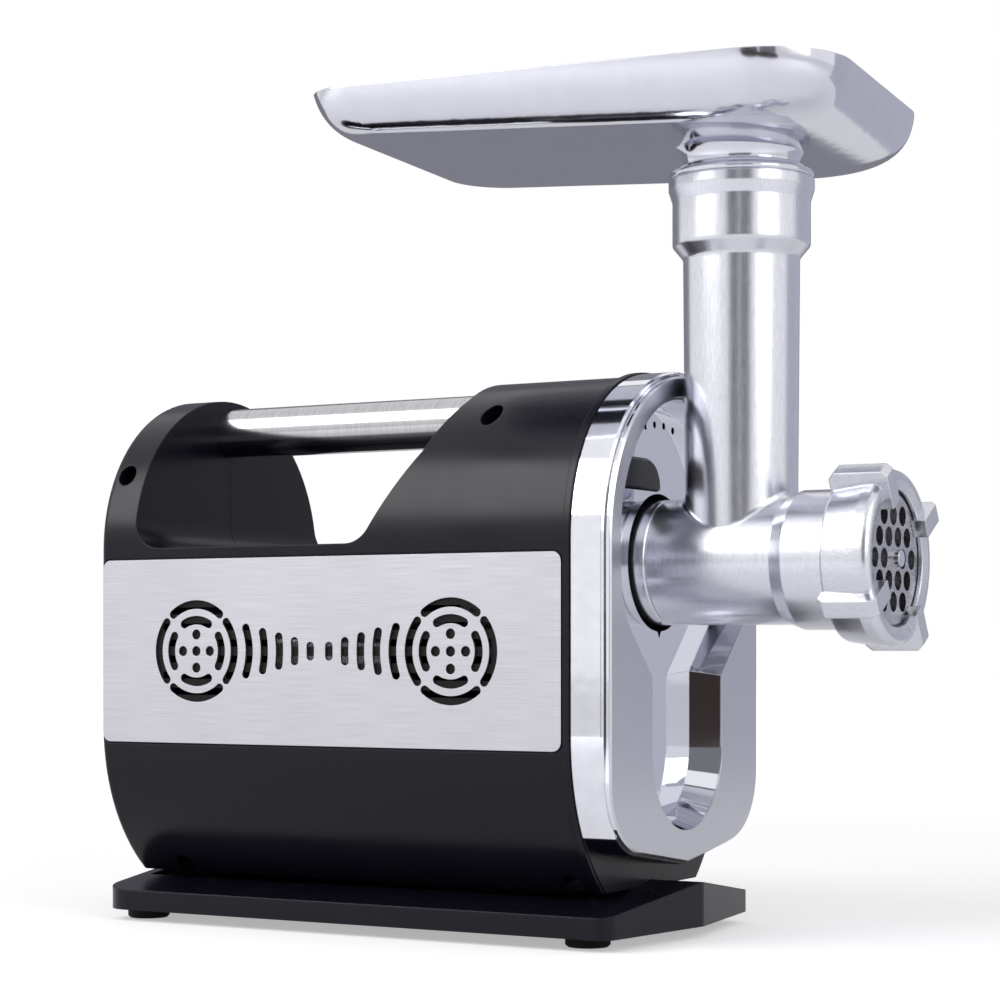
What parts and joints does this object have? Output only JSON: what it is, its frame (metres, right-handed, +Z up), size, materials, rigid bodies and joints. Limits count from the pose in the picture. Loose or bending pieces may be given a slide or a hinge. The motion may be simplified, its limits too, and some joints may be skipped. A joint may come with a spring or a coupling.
{
  "type": "electric meat grinder",
  "caption": "Countertop electric meat grinder: upright black housing with a carrying handle and vented steel sides, a plug-in mincing head in front and a lift-off feed tray on its throat.",
  "frame": {"origin": "middle of the four feet, on the worktop", "axes": "+X forward to the mincing head, +Y to the left side, away from the housing screws, +Z up along the feed throat"},
  "size_m": [0.3559, 0.1902, 0.3485],
  "materials": {
    "housing_black": "fine satin texture",
    "switch_black": "satin",
    "button_black": "smooth",
    "motor_plastic": "matt",
    "foot_rubber": "matt",
    "panel_steel": "brushed lengthwise",
    "tube_steel": "fine satin",
    "bezel_chrome": "polished",
    "face_polished": "polished",
    "head_aluminium": "polished casting",
    "nut_aluminium": "polished casting",
    "tray_aluminium": "polished sheet",
    "auger_aluminium": "cast",
    "cutter_steel": "ground",
    "screw_steel": "dull",
    "gearbox_aluminium": "cast",
    "gear_steel": "machined",
    "core_steel": "laminated",
    "winding_copper": "enamelled"
  },
  "bodies": {
    "machine": {"bezel": "bezel_chrome", "bottom_cover": "housing_black", "brush_holders": "motor_plastic", "cord_gland": "switch_black", "field_coils": "winding_copper", "foot_front_left": "foot_rubber", "foot_front_right": "foot_rubber", "foot_rear_left": "foot_rubber", "foot_rear_right": "foot_rubber", "front_frame": "housing_black", "front_plate": "face_polished", "gearbox_case": "gearbox_aluminium", "gearbox_cover": "gearbox_aluminium", "handle_plug_front": "housing_black", "handle_plug_rear": "housing_black", "handle_tube": "tube_steel", "head_socket": "gearbox_aluminium", "housing_left": "housing_black", "housing_right": "housing_black", "housing_screws": "screw_steel", "motor_bolts": "screw_steel", "motor_rear_bracket": "core_steel", "motor_stator": "core_steel", "rear_panel": "housing_black", "side_plate_left": "panel_steel", "side_plate_right": "panel_steel", "switch_frame": "switch_black", "vent_screen_left": "housing_black", "vent_screen_right": "housing_black"},
    "rotor": {"motor_rotor": "core_steel", "commutator": "winding_copper", "motor_fan": "motor_plastic"},
    "first_arbor": {"first_arbor": "gear_steel"},
    "second_arbor": {"second_arbor": "gear_steel"},
    "output_shaft": {"output_shaft": "gear_steel"},
    "rocker": {"switch_rocker": "switch_black"},
    "lock_button": {"lock_button": "button_black"},
    "head": {"grinder_head": "head_aluminium"},
    "auger": {"auger": "auger_aluminium", "knife": "cutter_steel"},
    "nut": {"ring_nut": "nut_aluminium"},
    "plate": {"perforated_plate": "cutter_steel"},
    "tray": {"feed_tray": "tray_aluminium"}
  },
  "joints": [
    {"name": "rotor_spin", "type": "hinge", "parent": "machine", "child": "rotor", "pos_m": [0, 0, 0.097], "axis": [1, 0, 0], "continuous": true},
    {"name": "first_arbor_spin", "type": "hinge", "parent": "machine", "child": "first_arbor", "pos_m": [0.07, 0.02834, 0.07858], "axis": [1, 0, 0], "continuous": true},
    {"name": "second_arbor_spin", "type": "hinge", "parent": "machine", "child": "second_arbor", "pos_m": [0.07, 0.028, 0.11888], "axis": [1, 0, 0], "continuous": true},
    {"name": "output_spin", "type": "hinge", "parent": "machine", "child": "output_shaft", "pos_m": [0.07, 0, 0.157], "axis": [1, 0, 0], "continuous": true},
    {"name": "head_pull", "type": "slide", "parent": "machine", "child": "head", "axis": [1, 0, 0], "range_m": [0, 0.045]},
    {"name": "auger_spin", "type": "hinge", "parent": "head", "child": "auger", "pos_m": [0.17, 0, 0.157], "axis": [1, 0, 0], "continuous": true},
    {"name": "nut_off", "type": "slide", "parent": "head", "child": "nut", "axis": [1, 0, 0], "range_m": [0, 0.06]},
    {"name": "plate_out", "type": "slide", "parent": "head", "child": "plate", "axis": [1, 0, 0], "range_m": [0, 0.03]},
    {"name": "tray_lift", "type": "slide", "parent": "head", "child": "tray", "axis": [0, 0, 1], "range_m": [0, 0.03]},
    {"name": "lock_push", "type": "slide", "parent": "machine", "child": "lock_button", "axis": [-1, 0, 0], "range_m": [0, 0.006], "stiffness_N_per_m": 400, "springref_m": -0.002},
    {"name": "rocker_tip", "type": "hinge", "parent": "machine", "child": "rocker", "pos_m": [-0.116, 0, 0.118], "axis": [0, 1, 0], "range_deg": [-10, 10]}
  ],
  "couplings": [
    {"joint": "first_arbor_spin", "follows": "rotor_spin", "ratio": -0.2},
    {"joint": "second_arbor_spin", "follows": "rotor_spin", "ratio": 0.055556},
    {"joint": "output_spin", "follows": "rotor_spin", "ratio": -0.017361},
    {"joint": "auger_spin", "follows": "rotor_spin", "ratio": -0.017361},
    {"joint": "plate_out", "follows": "nut_off", "ratio": 0.5}
  ]
}
